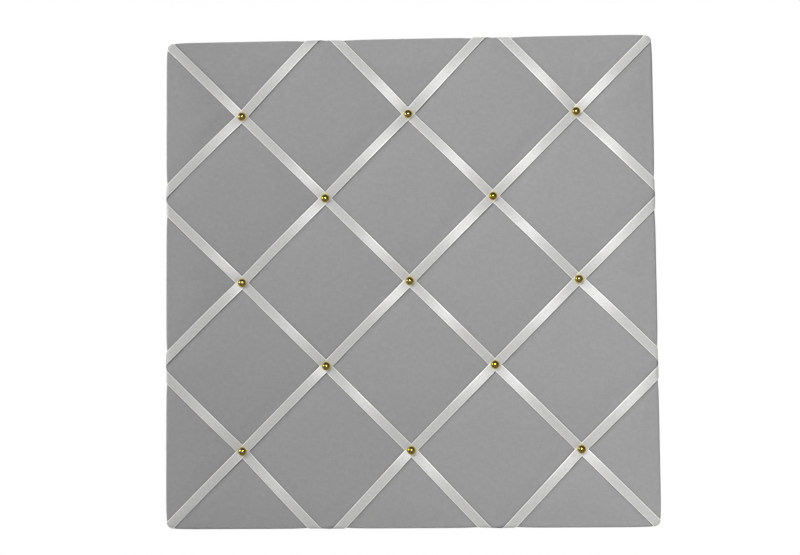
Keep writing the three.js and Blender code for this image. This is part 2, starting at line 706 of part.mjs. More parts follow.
// Panel pieces
const hemOpening = new THREE.BoxGeometry(
  BOARD_WIDTH - 2 * HEM_WIDTH, 2 * TOOL_OVERRUN, BOARD_HEIGHT - 2 * HEM_WIDTH).translate(0, coverRear, 0);
const coverInside = hollowedPad(COVER_THICKNESS);
const coverCuts = [coverInside, solidOf(hemOpening), ...studHoles, ...legHoles];
const cover = cutAll(hollowedPad(0), coverCuts);

function coreBlock(growth, rear) {
  const halfX = halfWidth - coreInset + growth;
  const halfZ = halfHeight - coreInset + growth;
  const radius = cornerRadius(growth - coreInset);
  const levels = [coreFront - growth, rear];
  return solidOf(loft(levels.map((y) => roundedOutline(halfX, halfZ, radius, y))));
}

const waddingRoom = coreBlock(LAYER_GAP, cardFront);
const wadding = cutAll(hollowedPad(COVER_THICKNESS + LAYER_GAP).subtract(waddingRoom), studHoles);
const screwTip = screwSeat - SCREW_SHANK_LENGTH;
const screwHoles = hangerPlaces.map(({ x }) =>
  pinHole(SCREW_SHANK_DIAMETER, screwTip - PIN_HOLE_CLEARANCE, cardFront, x, eyeZ + screwZ));
const core = cutAll(coreBlock(0, coreRear), [...studHoles, ...legHoles, ...screwHoles]);

addPiece("core_board", core, softboardFinish);
addPiece("wadding", wadding, waddingFinish);
addPiece("fabric_cover", cover, cottonFinish);
ribbons.forEach(({ line, strip }) => addPiece(line.name, strip, satinFinish));

const twoDigits = (number) => String(number).padStart(2, "0");

studPlaces.forEach(({ x, z }, index) => {
  const stud = addPiece(`stud_${twoDigits(index + 1)}`, studGeometry(), brassFinish);
  stud.position.set(x, studSeat, z);
});

staples.forEach(({ x, z, turn }, index) => {
  const staple = addPiece(`staple_${twoDigits(index + 1)}`, stapleGeometry(), steelFinish);
  staple.position.set(x, 0, z);
  staple.rotation.y = turn;
});

// Backing card, with a window round each hanger
const windowLow = -STRAP_LENGTH - CARD_WINDOW_MARGIN;
const windowHigh = ringHeight + RING_WIRE_DIAMETER / 2 + CARD_WINDOW_MARGIN;
const windowHalf = RING_INNER_WIDTH / 2 + RING_WIRE_DIAMETER + CARD_WINDOW_MARGIN;
const cardWidth = BOARD_WIDTH - 2 * CARD_INSET;
const cardHeight = BOARD_HEIGHT - 2 * CARD_INSET;
const cardSheet = new THREE.BoxGeometry(cardWidth, CARD_THICKNESS, cardHeight);
cardSheet.translate(0, -CARD_THICKNESS / 2, 0);
const cardWindows = hangerPlaces.map(({ x }) => {
  const opening = new THREE.BoxGeometry(2 * windowHalf, 2 * TOOL_OVERRUN, windowHigh - windowLow);
  return solidOf(opening.translate(x, -CARD_THICKNESS / 2, eyeZ + (windowLow + windowHigh) / 2));
});
addPiece("backing_card", cutAll(solidOf(cardSheet), cardWindows), cardFinish);

hangerPlaces.forEach(({ side, x }) => {
  addPiece(`hanger_strap_${side}`, strapPiece(), steelFinish).position.set(x, strapSeat, eyeZ);
  const ring = addPiece(`hanger_ring_${side}`, ringGeometry(), steelFinish);
  ring.position.set(x, eyeY, eyeZ);
  ring.rotation.x = ringLean;
  addPiece(`hanger_screw_${side}`, screwPiece(), steelFinish).position.set(x, screwSeat, eyeZ + screwZ);
});

export default board;
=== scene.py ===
import math
import bmesh
import bpy
import numpy as np
from mathutils import Matrix, Quaternion, Vector


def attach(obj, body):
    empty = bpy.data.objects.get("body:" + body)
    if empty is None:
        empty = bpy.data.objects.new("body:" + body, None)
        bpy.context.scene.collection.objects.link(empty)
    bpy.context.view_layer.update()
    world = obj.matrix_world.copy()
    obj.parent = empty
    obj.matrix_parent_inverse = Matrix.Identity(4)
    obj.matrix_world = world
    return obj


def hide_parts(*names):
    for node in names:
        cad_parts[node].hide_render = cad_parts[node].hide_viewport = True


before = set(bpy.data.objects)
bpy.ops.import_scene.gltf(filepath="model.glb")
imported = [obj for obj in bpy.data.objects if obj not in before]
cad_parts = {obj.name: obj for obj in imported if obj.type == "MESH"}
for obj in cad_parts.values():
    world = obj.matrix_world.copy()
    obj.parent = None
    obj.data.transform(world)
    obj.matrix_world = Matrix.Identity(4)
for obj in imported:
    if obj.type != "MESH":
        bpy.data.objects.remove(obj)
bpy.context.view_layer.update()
bpy.context.scene.view_settings.view_transform = "Standard"


# Core board: a 12 mm panel of pressed softboard, sawn to size, which takes every pin and screw.
# It stays as its CAD solid. Its back shows only in the two windows of the backing card.
mm = 0.001


def paint(code):
    """Colour code as the linear values that a socket takes."""
    parts = [int(code[i : i + 2], 16) / 255 for i in (1, 3, 5)]
    return [p / 12.92 if p <= 0.04045 else ((p + 0.055) / 1.055) ** 2.4 for p in parts] + [1]


def put(tree, kind, inputs=(), **settings):
    """New node, with its inputs by name or number: plain values, or sockets to join."""
    made = tree.nodes.new(kind)
    for name, value in settings.items():
        setattr(made, name, value)
    for name, value in dict(inputs).items():
        if isinstance(value, bpy.types.NodeSocket):
            tree.links.new(value, made.inputs[name])
        else:
            made.inputs[name].default_value = value
    return made


def calc(tree, operation, *values):
    """Result of one math node."""
    return put(tree, "ShaderNodeMath", dict(enumerate(values)), operation=operation).outputs[0]


def graded(tree, value, low, high):
    """0 below low and 1 above high, eased between them."""
    limits = {"Value": value, "From Min": low, "From Max": high}
    return put(tree, "ShaderNodeMapRange", limits, interpolation_type="SMOOTHSTEP").outputs[0]


def tint(tree, share, one, other):
    """Colour that goes from one to the other as the share grows."""
    sockets = {0: share, 6: one, 7: other}
    return put(tree, "ShaderNodeMix", sockets, data_type="RGBA").outputs[2]


def noise(tree, place, scale, detail=4.0, roughness=0.6):
    sockets = {"Vector": place, "Scale": scale, "Detail": detail, "Roughness": roughness}
    return put(tree, "ShaderNodeTexNoise", sockets).outputs["Fac"]


def drawn_out(tree, place, ways):
    """Coordinates scaled by a different amount along each axis."""
    return put(tree, "ShaderNodeVectorMath", {0: place, 1: ways}, operation="MULTIPLY").outputs[0]


def shader_group(name, inputs, outputs):
    """Empty node group, with the sockets of its input and output."""
    tree = bpy.data.node_groups.new(name, "ShaderNodeTree")
    for label, kind in inputs.items():
        tree.interface.new_socket(label, in_out="INPUT", socket_type=kind)
    for label in outputs:
        tree.interface.new_socket(label, in_out="OUTPUT", socket_type="NodeSocketFloat")
    return tree, put(tree, "NodeGroupInput").outputs, put(tree, "NodeGroupOutput").inputs


def new_finish(name, plain):
    """Material with plain values set on its shader. Returns it with its tree and shader."""
    material = bpy.data.materials.new(name)
    material.use_nodes = True
    shader = material.node_tree.nodes["Principled BSDF"]
    for socket, value in plain.items():
        shader.inputs[socket].default_value = value
    return material, material.node_tree, shader


def feed(tree, shader, **sockets):
    """Joins node outputs to the shader's sockets, named with _ for a space."""
    for name, output in sockets.items():
        tree.links.new(output, shader.inputs[name.replace("_", " ")])


def relief(tree, height, depth, strength=1.0):
    """Normal of a surface whose height runs from 0 to 1 over a depth."""
    sockets = {"Height": height, "Distance": depth, "Strength": strength}
    return put(tree, "ShaderNodeBump", sockets).outputs["Normal"]


def dress(names, material):
    """Gives CAD nodes a material."""
    for name in names:
        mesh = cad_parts[name].data
        mesh.materials.clear()
        mesh.materials.append(material)


def pressed_fibre_group():
    """Short fibres, and darker flecks among them, as in pulp that is pressed and dried."""
    inputs = {"Place": "NodeSocketVector", "Fineness": "NodeSocketFloat"}
    tree, given, result = shader_group("pressed fibre", inputs, ["Fibre", "Fleck"])
    along = noise(tree, drawn_out(tree, given["Place"], (0.25, 1, 1)), given["Fineness"], 6.0, 0.7)
    across = noise(tree, drawn_out(tree, given["Place"], (1, 1, 0.25)), given["Fineness"], 6.0, 0.7)
    tree.links.new(calc(tree, "MULTIPLY", calc(tree, "ADD", along, across), 0.5), result["Fibre"])
    coarse = noise(tree, given["Place"], calc(tree, "MULTIPLY", given["Fineness"], 0.6), 2.0)
    tree.links.new(graded(tree, coarse, 0.62, 0.72), result["Fleck"])
    return tree


pressed_fibre = pressed_fibre_group()

softboard, tree, shader = new_finish("softboard", {"Roughness": 0.92, "Specular IOR Level": 0.25})
place = put(tree, "ShaderNodeTexCoord").outputs["Object"]
fibre = put(tree, "ShaderNodeGroup", {"Place": place, "Fineness": 420}, node_tree=pressed_fibre)
body_colour = tint(tree, graded(tree, fibre.outputs["Fibre"], 0.35, 0.65), paint("#94774f"), paint("#b99a6c"))
colour = tint(tree, fibre.outputs["Fleck"], body_colour, paint("#6f5636"))
feed(tree, shader, Base_Color=colour, Normal=relief(tree, fibre.outputs["Fibre"], 0.6 * mm))
dress(["core_board"], softboard)


# Wadding: a 6 mm layer of white polyester fibre over the front and sides of the core, which gives
# the panel its soft rolled edge and lets the studs sink in. The cover hides it on every side.
half_board = 250 * mm
corner_centre = 240 * mm
front_y = -24.65 * mm
rear_y = -4.7 * mm
front_roll = 3 * mm
rear_roll = 2.5 * mm
side_start = front_roll * math.pi / 2
side_end = side_start + rear_y - front_y - front_roll - rear_roll
back_start = side_end + rear_roll * math.pi / 2
stud_pitch = 171.5 * mm
line_pitch = stud_pitch * math.sqrt(0.5)
line_numbers = range(-2, 3)
stud_limit = 220 * mm
stud_spots = [
    ((falling + rising) * stud_pitch / 2, (falling - rising) * stud_pitch / 2)
    for falling in line_numbers
    for rising in line_numbers
    if max(abs(falling + rising), abs(falling - rising)) * stud_pitch / 2 < stud_limit
]
ribbon_half = 4.75 * mm
edge_spreads = (1.5 * mm, 4.5 * mm)
channel_depth = 0.3 * mm
edge_press = 0.6 * mm
press_width = 20 * mm
channel_margin = 0.6 * mm
channel_slope = 7 * mm
tuft_depth = 4.0 * mm
tuft_flat = 3.5 * mm
brow_depth = 1.5 * mm
brow_width = 35 * mm


def tuft_share(reach):
    """How much of a tuft's depth is left at a distance from its stud. A ribbon arches between studs."""
    climb = np.clip((reach - tuft_flat) / (line_pitch / 2 - tuft_flat), 0, 1)
    return (1 - climb) ** 2


def track_depth(run):
    """How far a tight ribbon sinks into the padding: most where it turns the front edge, and not at all
    on the back, where the cloth lies on the core."""
    pressed = np.clip((run + press_width) / (side_start + press_width), 0, 1)
    padded = np.clip((side_end - run) / (side_end - side_start), 0, 1)
    return (channel_depth + edge_press * pressed**2) * padded


def past_studs(place):
    """How far a place is on its way from the outermost studs to the edge, with the place's sign."""
    return np.sign(place) * np.clip((np.abs(place) - stud_pitch) / (half_board - stud_pitch), 0, 1)


def line_distance(x, z, slope):
    """Distance from the nearest line of ribbons that fall (slope 1) or rise (slope -1) to the right.
    Past the outermost studs the two kinds are drawn apart, but for those that run to the corners."""
    across = (x + slope * z) * math.sqrt(0.5)
    number = np.clip(np.round(across / line_pitch), line_numbers[0], line_numbers[-1])
    lean = (edge_spreads[0] * past_studs(x) + edge_spreads[1] * slope * past_studs(z)) * math.sqrt(0.5)
    return np.abs(across - np.where(number == 0, 0, lean) - number * line_pitch)


def hollow_depth(x, z, run):
    """How far the cloth is pressed in at a place on the flat cloth, along ribbons and at studs."""
    depth = np.zeros_like(x)
    for slope in (1, -1):
        aside = np.maximum(line_distance(x, z, slope) - ribbon_half - channel_margin, 0)
        depth = np.maximum(depth, track_depth(run) * np.exp(-((aside / channel_slope) ** 1.2)))
    for stud_x, stud_z in stud_spots:
        reach = np.hypot(x - stud_x, z - stud_z)
        depth = depth + (tuft_depth - channel_depth) * tuft_share(reach)
    return depth


def edge_section(run):
    """Section of the covered edge at a run of cloth from the start of its front roll: how far out
    from the board's side, how deep, and which way the surface faces."""
    front_turn = np.clip(run / front_roll, 0, math.pi / 2)
    rear_turn = np.clip((run - side_end) / rear_roll, 0, math.pi / 2)
    on_side = np.clip(run - side_start, 0, side_end - side_start)
    out = front_roll * (np.sin(front_turn) - 1) + np.minimum(run, 0)
    out = out + rear_roll * (np.cos(rear_turn) - 1) - np.maximum(run - back_start, 0)
    brow = brow_depth * np.clip(1 + np.minimum(run, 0) / brow_width, 0, 1) ** 2
    brow = brow * (1 - on_side / (side_end - side_start))
    deep = front_y + brow + front_roll * (1 - np.cos(front_turn)) + on_side + rear_roll * np.sin(rear_turn)
    faces_out = np.sin(front_turn) * np.cos(rear_turn)
    faces_back = np.where(run < side_end, -np.cos(front_turn), np.sin(rear_turn))
    return out, deep, faces_out, faces_back


def raised_section(run, rise):
    """The same surface at a rise above it: how far out, and how deep."""
    out, deep, faces_out, faces_back = edge_section(run)
    return out + rise * faces_out, deep + rise * faces_back


def panel_layout(ticks, runs, corner_steps):
    """Net of a covered panel: a grid over its front, and rows that turn each side and corner. Returns
    each point's root on the grid, its way outwards and its run, and the faces."""
    count = len(ticks)
    roots = [(x, z) for z in ticks for x in ticks]
    ways = [(0.0, 0.0)] * len(roots)
    lengths = [-math.inf] * len(roots)
    faces = []
    for row in range(count - 1):
        for column in range(count - 1):
            a = row * count + column
            faces.append((a, a + 1, a + 1 + count, a + count))
    rim = []
    for side in range(4):
        way = (round(math.cos(side * math.pi / 2)), round(math.sin(side * math.pi / 2)))
        for i in range(1, count - 1):
            column, row = ((count - 1, i), (count - 1 - i, count - 1), (0, count - 1 - i), (i, 0))[side]
            rim.append((row * count + column, way))
        corner = (count * count - 1, count * (count - 1), 0, count - 1)[side]
        for step in range(corner_steps + 1):
            angle = (side + step / corner_steps) * math.pi / 2
            rim.append((corner, (math.cos(angle), math.sin(angle))))
    inner = [start for start, _ in rim]
    for run in runs:
        outer = list(range(len(roots), len(roots) + len(rim)))
        roots += [roots[start] for start, _ in rim]
        ways += [way for _, way in rim]
        lengths += [run] * len(rim)
        for i in range(len(rim)):
            k = (i + 1) % len(rim)
            face = (inner[i], outer[i], outer[k], inner[k])
            faces.append(face if inner[i] != inner[k] else face[:3])
        inner = outer
    return np.array(roots), np.array(ways), np.array(lengths), faces


def panel_points(roots, ways, lengths, inset):
    """Places of a net's points on the padded front, sides and back, at an inset under the cloth."""
    on_grid = np.isinf(lengths)
    run = np.where(on_grid, np.abs(roots).max(axis=1) - half_board + front_roll, lengths)
    beyond = np.where(on_grid, 0, run + half_board - front_roll - corner_centre)
    at_corner = np.abs(ways).min(axis=1) > 1e-6
    beyond = np.where(at_corner, np.minimum(beyond, half_board - corner_centre), beyond)
    flat = roots + ways * beyond[:, None]
    hollow = hollow_depth(flat[:, 0], flat[:, 1], run)
    out, deep = raised_section(run, -inset - hollow)
    reach = np.where(on_grid, 0, half_board - corner_centre + out)
    scale = np.where(reach < 0, 1 + reach / corner_centre, 1.0)
    plan = roots * scale[:, None] + ways * np.maximum(reach, 0)[:, None]
    return np.column_stack([plan[:, 0], deep, plan[:, 1]])


def new_piece(name, points, faces, material, smooth=True):
    """Mesh object with its place in its mesh."""
    mesh = bpy.data.meshes.new(name)
    mesh.from_pydata([tuple(point) for point in points], [], faces)
    mesh.materials.append(material)
    mesh.polygons.foreach_set("use_smooth", [smooth] * len(mesh.polygons))
    piece = bpy.data.objects.new(name, mesh)
    bpy.context.scene.collection.objects.link(piece)
    return piece


def tidy_mesh(piece, distance=1e-6, recalculate=False):
    """Merges points that fall together, and turns all faces outwards where that is asked."""
    work = bmesh.new()
    work.from_mesh(piece.data)
    bmesh.ops.remove_doubles(work, verts=work.verts, dist=distance)
    bmesh.ops.dissolve_degenerate(work, edges=work.edges, dist=distance)
    if recalculate:
        bmesh.ops.recalc_face_normals(work, faces=work.faces)
    work.to_mesh(piece.data)
    work.free()


wadding_inset = 1.1 * mm
wadding_corner_steps = 6
wadding_ticks = np.linspace(-corner_centre, corner_centre, 85)
wadding_runs = np.concatenate([
    np.array([-4, -2, -0.5]) * mm,
    np.linspace(0, side_start, 4),
    np.linspace(side_start, side_end, 4)[1:],
])
roots, ways, lengths, faces = panel_layout(wadding_ticks, wadding_runs, wadding_corner_steps)
outer_skin = panel_points(roots, ways, lengths, wadding_inset)
core_front = -17.55 * mm
core_half = 245.4 * mm
core_gap = 0.3 * mm
least_loft = 0.5 * mm
inner_skin = outer_skin.copy()
inner_skin[:, 1] = np.maximum(outer_skin[:, 1] + least_loft, core_front - core_gap)
for axis in (0, 2):
    inner_skin[:, axis] = np.clip(inner_skin[:, axis], -core_half - core_gap, core_half + core_gap)
rim_count = 4 * (len(wadding_ticks) - 2) + 4 * (wadding_corner_steps + 1)
shell_size = len(outer_skin)
rim = [shell_size - rim_count + i for i in range(rim_count)]
closing = [
    (rim[i], rim[i] + shell_size, rim[(i + 1) % rim_count] + shell_size, rim[(i + 1) % rim_count])
    for i in range(rim_count)
]
inside = [tuple(index + shell_size for index in reversed(face)) for face in faces]

fibrefill, tree, shader = new_finish(
    "fibrefill", {"Roughness": 1.0, "Specular IOR Level": 0.1, "Sheen Weight": 0.4}
)
place = put(tree, "ShaderNodeTexCoord").outputs["Object"]
strands = noise(tree, place, 260, 6.0, 0.75)
feed(tree, shader, Base_Color=tint(tree, strands, paint("#dededa"), paint("#f6f6f3")))
feed(tree, shader, Normal=relief(tree, strands, 1.5 * mm))

padding = new_piece("padding", np.vstack([outer_skin, inner_skin]), faces + inside + closing, fibrefill)
tidy_mesh(padding)
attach(padding, "board")
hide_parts("wadding")


# Cover: one piece of grey cotton, stretched over the wadding, pulled round the sides and turned in on
# the back as a hem. Ribbons and studs hold it down, and it swells between them, as cloth under tension.
hem = 37.5 * mm
cover_tick = stud_pitch / 42
inner_ticks = np.arange(-58, 59) * cover_tick
cover_ticks = np.concatenate([[-corner_centre], inner_ticks, [corner_centre]])
cover_runs = np.concatenate([
    np.array([-4.5, -2, -0.6]) * mm,
    np.linspace(0, side_start, 6),
    np.linspace(side_start, side_end, 6)[1:],
    np.linspace(side_end, back_start, 4)[1:],
    back_start + hem * np.array([0.08, 0.21, 0.43, 0.69, 1]),
])
under_ribbon = 0.2 * mm
roots, ways, lengths, faces = panel_layout(cover_ticks, cover_runs, 8)
cover_points = panel_points(roots, ways, lengths, under_ribbon)


def woven_group():
    """Plain weave: threads that cross over and under each other, with uneven yarn."""
    inputs = {"Cloth": "NodeSocketVector", "Threads": "NodeSocketFloat"}
    tree, given, result = shader_group("woven threads", inputs, ["Thread", "Height", "Yarn"])
    sockets = {0: given["Cloth"], "Scale": given["Threads"]}
    scaled = put(tree, "ShaderNodeVectorMath", sockets, operation="SCALE").outputs[0]
    split = put(tree, "ShaderNodeSeparateXYZ", {0: scaled}).outputs
    waves = [calc(tree, "SINE", calc(tree, "MULTIPLY", split[i], math.pi)) for i in (0, 1)]
    rounds = [calc(tree, "ABSOLUTE", wave) for wave in waves]
    cells = [calc(tree, "FLOOR", split[i]) for i in (0, 1)]
    over = calc(tree, "PINGPONG", calc(tree, "ADD", *cells), 1.0)
    height = put(tree, "ShaderNodeMix", {0: over, 2: rounds[0], 3: rounds[1]}, data_type="FLOAT").outputs[0]
    tree.links.new(over, result["Thread"])
    tree.links.new(height, result["Height"])
    slubs = [
        noise(tree, drawn_out(tree, scaled, pull), 1.0, 2.0) for pull in ((1, 0.04, 1), (0.04, 1, 1))
    ]
    yarn = put(tree, "ShaderNodeMix", {0: over, 2: slubs[0], 3: slubs[1]}, data_type="FLOAT").outputs[0]
    tree.links.new(yarn, result["Yarn"])
    return tree


woven = woven_group()

cotton, tree, shader = new_finish(
    "grey cotton",
    {"Roughness": 0.9, "Specular IOR Level": 0.2, "Sheen Weight": 0.12, "Sheen Roughness": 0.5},
)
cloth_map = put(tree, "ShaderNodeUVMap", {}, uv_map="cloth").outputs[0]
thread_pitch = 0.42 * mm
weave = put(tree, "ShaderNodeGroup", {"Cloth": cloth_map, "Threads": 1 / thread_pitch}, node_tree=woven)
cloudy = noise(tree, cloth_map, 190, 5.0)
lint = noise(tree, cloth_map, 700, 3.0)
thick_yarns = [
    noise(tree, drawn_out(tree, cloth_map, pull), 1.0, 2.0) for pull in ((150, 1400, 1), (1400, 150, 1))
]
slubs = calc(tree, "MULTIPLY", calc(tree, "ADD", *thick_yarns), 0.5)
yarn_colour = tint(tree, weave.outputs["Yarn"], paint("#868686"), paint("#a6a6a6"))
worn_colour = tint(tree, graded(tree, cloudy, 0.2, 0.8), paint("#8a8a8a"), paint("#a1a1a1"))
streaked = tint(tree, graded(tree, slubs, 0.3, 0.7), paint("#8a8a8a"), paint("#a2a2a2"))
blended = tint(tree, 0.5, tint(tree, 0.5, worn_colour, streaked), yarn_colour)
linted = tint(tree, graded(tree, lint, 0.68, 0.8), blended, paint("#adadad"))
# Painted shade: the cloth is painted darker, towards #7e7e7e, in a strip about 1.3 mm wide along each
# ribbon's edge, where the ribbon shades it.
ribbon_distance = put(tree, "ShaderNodeAttribute", {}, attribute_name="ribbon_distance").outputs["Fac"]
clear_of_ribbon_shade = graded(tree, ribbon_distance, ribbon_half, ribbon_half + 1.3 * mm)
colour = tint(tree, clear_of_ribbon_shade, paint("#7e7e7e"), linted)
feed(tree, shader, Base_Color=colour, Normal=relief(tree, weave.outputs["Height"], 0.12 * mm, 0.7))

cover = new_piece("cotton_cover", cover_points, faces, cotton)
flat_run = np.where(np.isinf(lengths), 0, lengths + half_board - front_roll - corner_centre)
cloth_places = roots + ways * flat_run[:, None]
cloth_layer = cover.data.uv_layers.new(name="cloth")
corners = np.array([loop.vertex_index for loop in cover.data.loops])
cloth_layer.data.foreach_set("uv", cloth_places[corners].astype(np.float32).ravel())
nearest_ribbon = np.minimum(line_distance(*cloth_places.T, 1), line_distance(*cloth_places.T, -1))
distances = cover.data.attributes.new("ribbon_distance", "FLOAT", "POINT")
distances.data.foreach_set("value", nearest_ribbon.astype(np.float32))
tidy_mesh(cover)


def swell(piece, held, pressure, slack, frames, most):
    """Lets a cloth piece swell where it isn't held, and keeps its new shape within a most distance."""
    group = piece.vertex_groups.new(name="held")
    for index, weight in enumerate(held):
        group.add([index], float(weight), "REPLACE")
    cloth = piece.modifiers.new("cloth", "CLOTH")
    settings = cloth.settings
    settings.quality = 6
    settings.mass = 0.25
    settings.tension_stiffness = settings.compression_stiffness = 25
    settings.bending_stiffness = 1.5
    settings.use_pressure = True
    settings.uniform_pressure_force = pressure
    settings.shrink_min = -slack
    settings.vertex_group_mass = "held"
    settings.effector_weights.gravity = 0
    cloth.collision_settings.use_collision = False
    scene = bpy.context.scene
    for number in range(1, frames + 1):
        scene.frame_set(number)
    shaped = piece.evaluated_get(bpy.context.evaluated_depsgraph_get())
    count = len(piece.data.vertices)
    before = np.empty(count * 3)
    after = np.empty(count * 3)
    piece.data.vertices.foreach_get("co", before)
    shaped.data.vertices.foreach_get("co", after)
    moved = (after - before).reshape(-1, 3)
    length = np.maximum(np.linalg.norm(moved, axis=1), 1e-9)
    moved *= (most * np.tanh(length / most) / length)[:, None]
    piece.modifiers.remove(cloth)
    piece.vertex_groups.clear()
    scene.frame_set(1)
    piece.data.vertices.foreach_set("co", before + moved.ravel())
    piece.data.update()


def bake_modifiers(piece):
    """Makes the evaluated shape the piece's own mesh."""
    shaped = bpy.data.meshes.new_from_object(piece.evaluated_get(bpy.context.evaluated_depsgraph_get()))
    piece.modifiers.clear()
    piece.data = shaped


held_beside, freed_over = 7 * mm, 8 * mm
held_inboard, freed_inboard = 2 * mm, 12 * mm
swell_depth = 6 * mm
spots = np.array([vertex.co for vertex in cover.data.vertices])
beside = np.minimum(*[line_distance(spots[:, 0], spots[:, 2], slope) for slope in (1, -1)])
inboard = half_board - np.abs(spots[:, [0, 2]]).max(axis=1)
off_ribbon = np.clip((beside - held_beside) / freed_over, 0, 1)
off_edge = np.clip((inboard - held_inboard) / freed_inboard, 0, 1)
free = np.where(spots[:, 1] > front_y + swell_depth, 0, off_ribbon * off_edge)
swell(cover, 1 - free, pressure=5.0, slack=0.002, frames=20, most=3 * mm)

smoothing = cover.modifiers.new("smoothing", "SUBSURF")
smoothing.levels = smoothing.render_levels = 1
bake_modifiers(cover)
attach(cover, "board")
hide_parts("fabric_cover")


# Ribbons: ten lengths of white satin, 9.5 mm wide, drawn tight across the front on both diagonals,
# round the edge and stapled on the back. The rising ones cross over the falling ones.
ribbon_thickness = 0.3 * mm
ribbon_gap = 0.1 * mm
ribbon_tail = 36 * mm
ribbon_step = 1.25 * mm
across_places = np.array([-1, -0.92, -0.5, 0, 0.5, 0.92, 1]) * ribbon_half
selvedge_rise = np.array([0.03, 0.07, 0, 0, 0, 0.07, 0.03]) * mm
corner_margin = 20 * mm
corner_bend = 30 * mm
corner_fold = 0.5 * mm
tail_level = 14 * mm
lift_start = 45 * mm
lift_length = 40 * mm
stud_hold = 12 * mm
satin_crown = 0.12 * mm
twist_slope = 0.02
twist_rate = 23
twist_shift = 40


def corner_reach(out, aside):
    """Distance from the middle of the board to its rounded corner, along a diagonal."""
    straight = math.sqrt(2) * (half_board + out) - np.abs(aside)
    radius = np.maximum(half_board - corner_centre + out, 0.25 * mm)
    on_arc = (straight - np.abs(aside)) * math.sqrt(0.5) > corner_centre
    rounded = math.sqrt(2) * corner_centre + np.sqrt(np.maximum(radius**2 - aside**2, 0))
    return np.where(on_arc, rounded, straight)


def ribbon_end(line, sign, last_stud):
    """One end of a ribbon: its length from the middle, and a function that gives places along it."""
    middle, along, across = line
    out_way = along * sign
    flat = half_board - front_roll
    to_side = (flat - middle * np.sign(out_way)) / np.abs(out_way)
    to_edge = to_side.min()
    if abs(to_side[0] - to_side[1]) > corner_margin:
        axis = int(to_side[1] < to_side[0])
        length = to_edge + math.sqrt(2) * back_start + ribbon_tail

        def side_place(s, t, tuft, rise):
            plan = middle + out_way * s[..., None] + across * t[..., None]
            run = np.sign(out_way[axis]) * plan[..., axis] - flat
            drawn = edge_spreads[axis] * np.abs(past_studs(plan[..., axis]))
            plan[..., 1 - axis] -= np.sign(out_way[1 - axis]) * drawn
            out, deep = raised_section(run, rise - tuft - track_depth(run))
            plan[..., axis] = np.sign(out_way[axis]) * (half_board + out)
            return np.stack([plan[..., 0], deep, plan[..., 1]], axis=-1)

        return length, side_place

    turn = corner_reach(np.array(-front_roll), np.array(0.0))
    bend = last_stud + corner_bend
    length = turn + back_start + ribbon_tail

    def corner_place(s, t, tuft, rise):
        run = np.clip(s - turn, 0, back_start)
        place = run + np.minimum(s - turn, 0) * math.sqrt(0.5)
        before = np.clip((s - bend) / (turn - bend), 0, 1)
        fold = corner_fold * before * (1 - np.abs(t) / ribbon_half)
        height = rise + fold - tuft - track_depth(place)
        out = raised_section(run, height)[0]
        deep = raised_section(place, height)[1]
        rim = corner_reach(out, t)
        reach = np.where(s < turn, s + before * (rim - turn), rim)
        tail = np.maximum(s - turn - back_start, 0)
        level = np.clip(tail / tail_level, 0, 1)
        reach = reach + level * (corner_reach(out, 0 * t) - rim) - tail
        plan = middle + out_way * reach[..., None] + across * t[..., None]
        return np.stack([plan[..., 0], deep, plan[..., 1]], axis=-1)

    return length, corner_place


def ribbon_places(line, s, ends, studs, crossings, over, rise):
    """Rows of places across a ribbon, at each length s from its middle."""
    grid_s, grid_t = np.meshgrid(s, across_places, indexing="ij")
    from_stud = np.abs(grid_s[..., None] - np.array(studs)).min(axis=-1)
    tuft = (tuft_depth - channel_depth) * tuft_share(from_stud)
    from_crossing = np.abs(grid_s[..., None] - np.array(crossings)).min(axis=-1)
    ease = np.clip((lift_start - from_crossing) / lift_length, 0, 1)
    lift = over * (ribbon_thickness + ribbon_gap) * ease * ease * (3 - 2 * ease)
    loose = 1 - np.clip((stud_hold - from_stud) / stud_hold, 0, 1)
    twist = twist_slope * loose * np.sin(grid_s * twist_rate + twist_shift * line[0].sum()) * grid_t
    crown = satin_crown * loose * (1 - (grid_t / ribbon_half) ** 2)
    height = rise + ribbon_gap + lift + twist + crown
    minus = ends[0](-grid_s, grid_t, tuft, height)
    plus = ends[1](grid_s, grid_t, tuft, height)
    return np.where((grid_s < 0)[..., None], minus, plus)


def strip_faces(rows, columns):
    """Faces of a closed strip: an upper net, a lower net, and the edges and ends between them."""
    lower = rows * columns
    faces = []
    for i in range(rows - 1):
        for k in range(columns - 1):
            a = i * columns + k
            faces.append((a, a + 1, a + 1 + columns, a + columns))
            faces.append((a + lower, a + columns + lower, a + 1 + columns + lower, a + 1 + lower))
        left = i * columns
        right = left + columns - 1
        faces.append((left, left + columns, left + columns + lower, left + lower))
        faces.append((right, right + lower, right + columns + lower, right + columns))
    last = (rows - 1) * columns
    for k in range(columns - 1):
        faces.append((k, k + lower, k + 1 + lower, k + 1))
        faces.append((last + k, last + k + 1, last + k + 1 + lower, last + k + lower))
    return faces


satin, tree, shader = new_finish("white satin", {
    "Specular IOR Level": 0.52, "Anisotropic": 0.8, "Anisotropic Rotation": 0.25,
    "Sheen Weight": 0.15, "Sheen Roughness": 0.35, "Coat Roughness": 0.3,
})
strip_map = put(tree, "ShaderNodeUVMap", {}, uv_map="ribbon").outputs[0]
tangent = put(tree, "ShaderNodeTangent", {}, direction_type="UV_MAP", uv_map="ribbon").outputs[0]
split = put(tree, "ShaderNodeSeparateXYZ", {0: strip_map}).outputs
from_middle = calc(tree, "ABSOLUTE", split[1])
float_lines = noise(tree, drawn_out(tree, strip_map, (40, 9000, 1)), 1.0, 2.0)
pick_lines = noise(tree, drawn_out(tree, strip_map, (2600, 60, 1)), 1.0, 1.0)
selvedge = calc(
    tree, "MULTIPLY",
    graded(tree, from_middle, 3.9 * mm, 4.1 * mm),
    calc(tree, "SUBTRACT", 1.0, graded(tree, from_middle, 4.65 * mm, 4.75 * mm)),
)
